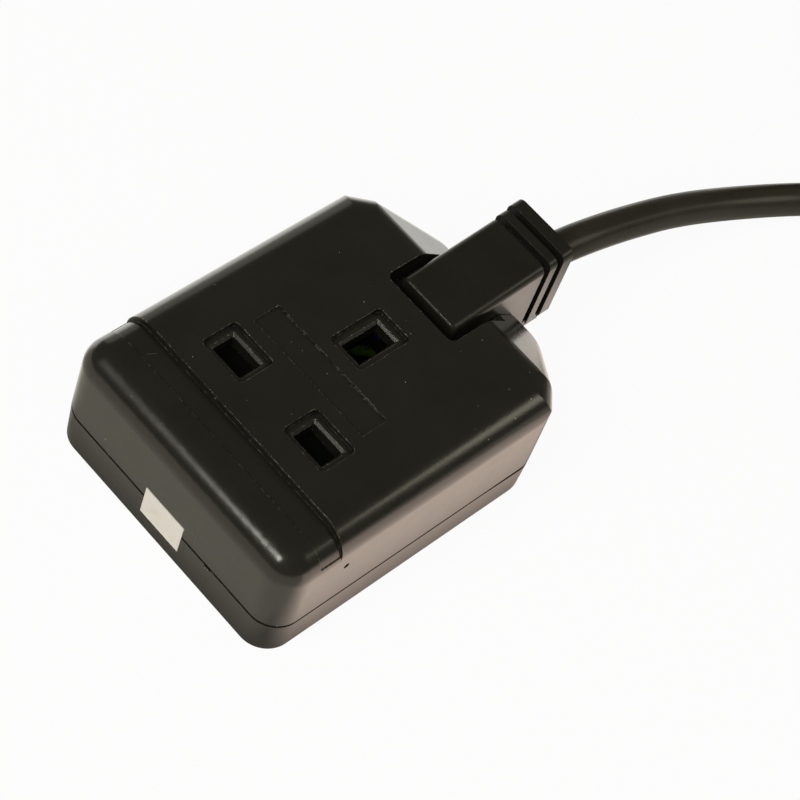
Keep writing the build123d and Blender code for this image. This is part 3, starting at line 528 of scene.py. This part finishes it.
def mirrored_floor(tree):
    """The floor's colour in reflections, with painted light and shade, worked out from the place on it.
    """
    axes = axes_of(tree, place_of(tree))
    low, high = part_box("base")
    beside = math_node(tree, "SUBTRACT", math_node(tree, "ABSOLUTE", axes["X"]), high.x)
    before = math_node(tree, "SUBTRACT", low.y, axes["Y"])
    outside = math_node(tree, "MAXIMUM", beside, before)
    from_foot = ramp(tree, outside, 0.0, FOOT_SHADE_M, to_low=FOOT_LIT)
    lit = math_node(tree, "MAXIMUM", from_foot, ramp(tree, axes["Y"], *FOOT_SHADE_ENDS_M))
    right_of_lead = ramp(tree, axes["X"], *CABLE_SHADE_X_M)
    behind_body = ramp(tree, axes["Y"], *CABLE_SHADE_Y_M)
    under_cable = math_node(tree, "MULTIPLY", right_of_lead, behind_body)
    dim = math_node(tree, "MAXIMUM", under_cable, ramp(tree, axes["Y"], *FLOOR_DIMS_M))
    bright = math_node(tree, "SUBTRACT", ramp(tree, axes["Y"], *FLOOR_BRIGHTENS_M), dim)
    side = mix_colour(tree, ramp(tree, axes["X"], *FLOOR_WARMS_M), FLOOR_PALE, FLOOR_WARM)
    # Painted shade before the part, far behind it and below the cable, and painted warm light at its
    # right
    colour = mix_colour(tree, ramp(tree, bright, 0.0, 1.0), FLOOR_DIM, side)
    return mix_colour(tree, lit, BLACK, colour)


def make_floor():
    """A pale floor: white to the camera, with painted light and shade in reflections, and with the
    part's shadow on it.
    """
    mesh = bpy.data.meshes.new("floor")
    half = FLOOR_HALF_M
    corners = [(-half, -half, 0), (half, -half, 0), (half, half, 0), (-half, half, 0)]
    mesh.from_pydata(corners, [], [(0, 1, 2, 3)])
    floor = bpy.data.objects.new("floor", mesh)
    bpy.context.scene.collection.objects.link(floor)
    material, tree, shader = new_material("floor")
    shader.inputs["Base Color"].default_value = with_alpha(FLOOR_COLOUR)
    shader.inputs["Roughness"].default_value = 0.9
    shader.inputs["Specular IOR Level"].default_value = 0.0
    path = tree.nodes.new("ShaderNodeLightPath").outputs
    seen = mix_colour(tree, path["Is Camera Ray"], mirrored_floor(tree), WHITE)
    white = add(tree, "ShaderNodeEmission", {"Color": seen, "Strength": 1.0})
    kinds = math_node(tree, "MAXIMUM", path["Is Camera Ray"], path["Is Glossy Ray"])
    kinds = math_node(tree, "MAXIMUM", kinds, path["Is Transmission Ray"])
    share = math_node(tree, "MULTIPLY", kinds, FLOOR_WHITE)
    blend = add(tree, "ShaderNodeMixShader", {0: share, 1: shader.outputs[0], 2: white.outputs[0]})
    tree.links.new(blend.outputs[0], tree.nodes["Material Output"].inputs["Surface"])
    mesh.materials.append(material)


def make_world():
    """White behind the part, and a dim room for its light and reflections."""
    world = bpy.data.worlds.new("world")
    world.use_nodes = True
    bpy.context.scene.world = world
    tree = world.node_tree
    room = tree.nodes["Background"]
    room.inputs["Color"].default_value = with_alpha(ROOM_COLOUR)
    room.inputs["Strength"].default_value = 1.0
    white = add(tree, "ShaderNodeBackground", {"Color": with_alpha(WHITE), "Strength": 1.0})
    seen = tree.nodes.new("ShaderNodeLightPath").outputs["Is Camera Ray"]
    blend = add(tree, "ShaderNodeMixShader", {0: seen, 1: room.outputs[0], 2: white.outputs[0]})
    tree.links.new(blend.outputs[0], tree.nodes["World Output"].inputs["Surface"])


def make_lamp(name, towards, distance, size, watts, colour, mirrored):
    """A square lamp in a direction from the part, aimed at it."""
    data = bpy.data.lights.new(name, "AREA")
    data.size = size
    data.energy = watts
    data.color = colour
    lamp = bpy.data.objects.new(name, data)
    away = Vector(towards).normalized()
    lamp.location = Vector(LAMP_AIM_M) + away * distance
    lamp.rotation_mode = "QUATERNION"
    lamp.rotation_quaternion = (-away).to_track_quat("-Z", "Y")
    lamp.visible_glossy = mirrored
    bpy.context.scene.collection.objects.link(lamp)


# The stage
bpy.context.scene.view_settings.view_transform = "Standard"
make_camera()
make_floor()
make_world()
for lamp in LAMPS:
    make_lamp(*lamp)

# The materials, and the CAD nodes that wear them
housing = housing_plastic()
boot = moulded_plastic(
    "boot_black",
    (0.010, 0.0095, 0.0068),
    (0.014, 0.0132, 0.0096),
    roughness=0.32,
    grain_mm=0.30,
    skin=0.8,
    edge_mm=0.25,
)
plug_plastic = moulded_plastic(
    "plug_black",
    (0.010, 0.0095, 0.008),
    (0.014, 0.0135, 0.011),
    roughness=0.38,
    grain_mm=0.4,
    grain_depth_mm=0.010,
    skin=0.6,
    edge_mm=0.2,
)
# The shutter and its retainer: black plastic, darker than the housing's own, which paints the deep shade
# of the slots
inner = moulded_plastic(
    "inner_plastic",
    (0.0015, 0.0015, 0.001),
    (0.0025, 0.0025, 0.002),
    roughness=0.7,
    grain_mm=0.5,
    grain_depth_mm=0.01,
    specular=0.15,
)
ceramic = moulded_plastic(
    "fuse_ceramic",
    (0.76, 0.74, 0.68),
    (0.83, 0.81, 0.76),
    roughness=0.45,
    grain_mm=0.3,
    grain_depth_mm=0.01,
)
tie = moulded_plastic(
    "tie_black",
    (0.012, 0.012, 0.012),
    (0.022, 0.022, 0.022),
    roughness=0.75,
    grain_mm=0.5,
    grain_depth_mm=0.08,
)
sheath = moulded_plastic("cable_black", (0.027, 0.025, 0.017), (0.036, 0.033, 0.023))
brown = moulded_plastic("core_brown", (0.13, 0.05, 0.018), (0.17, 0.065, 0.022))
blue = moulded_plastic("core_blue", (0.012, 0.04, 0.17), (0.016, 0.055, 0.22))
green = moulded_plastic("core_green", (0.07, 0.13, 0.02), (0.10, 0.18, 0.025))
paper = label_paper()
steel = metal("steel", (0.56, 0.56, 0.57), roughness=0.34)
brass = metal("brass", (0.72, 0.55, 0.27), roughness=0.26)

dress(housing, "top_cover", "base")
dress(boot, "cable_boot")
dress(paper, "rating_label")
dress(inner, "shutter", "shutter_retainer")
dress(steel, "cover_screws", "retainer_screws", "terminal_screws")
dress(steel, "plug_terminal_screws", "plug_cover_screw", "grip_screws")
dress(brass, "line_contact", "neutral_contact", "earth_contact", "fuse_clips")
dress(brass, "plug_line_pin", "plug_neutral_pin", "plug_earth_pin")
dress(brown, "line_core", "plug_line_core")
dress(blue, "neutral_core", "plug_neutral_core")
dress(green, "earth_core", "plug_earth_core")
dress(sheath, "inner_sheath", "plug_sheath")
dress(plug_plastic, "plug_body", "plug_cover", "plug_cord_grip", "pin_sleeves")
dress(ceramic, "plug_fuse")
dress(tie, "coil_tie")

# One smooth cable for the CAD model's three runs, with the tie and the plug on it
cable = round_curve("cable", cable_route(), CABLE, fineness=6)
cable.data.materials.append(sheath)
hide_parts("cable_lead", "cable_coil", "cable_tail")
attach(cable, "housing")
on_cable = [name for name in nodes if name.startswith("plug_")]
on_cable += ["pin_sleeves", "fuse_clips", "grip_screws", "coil_tie"]

# The spring, which takes the place of the CAD model's own
spring = spring_mesh()
spring.data.materials.append(steel)
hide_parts("shutter_spring")
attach(spring, "housing")
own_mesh(spring)
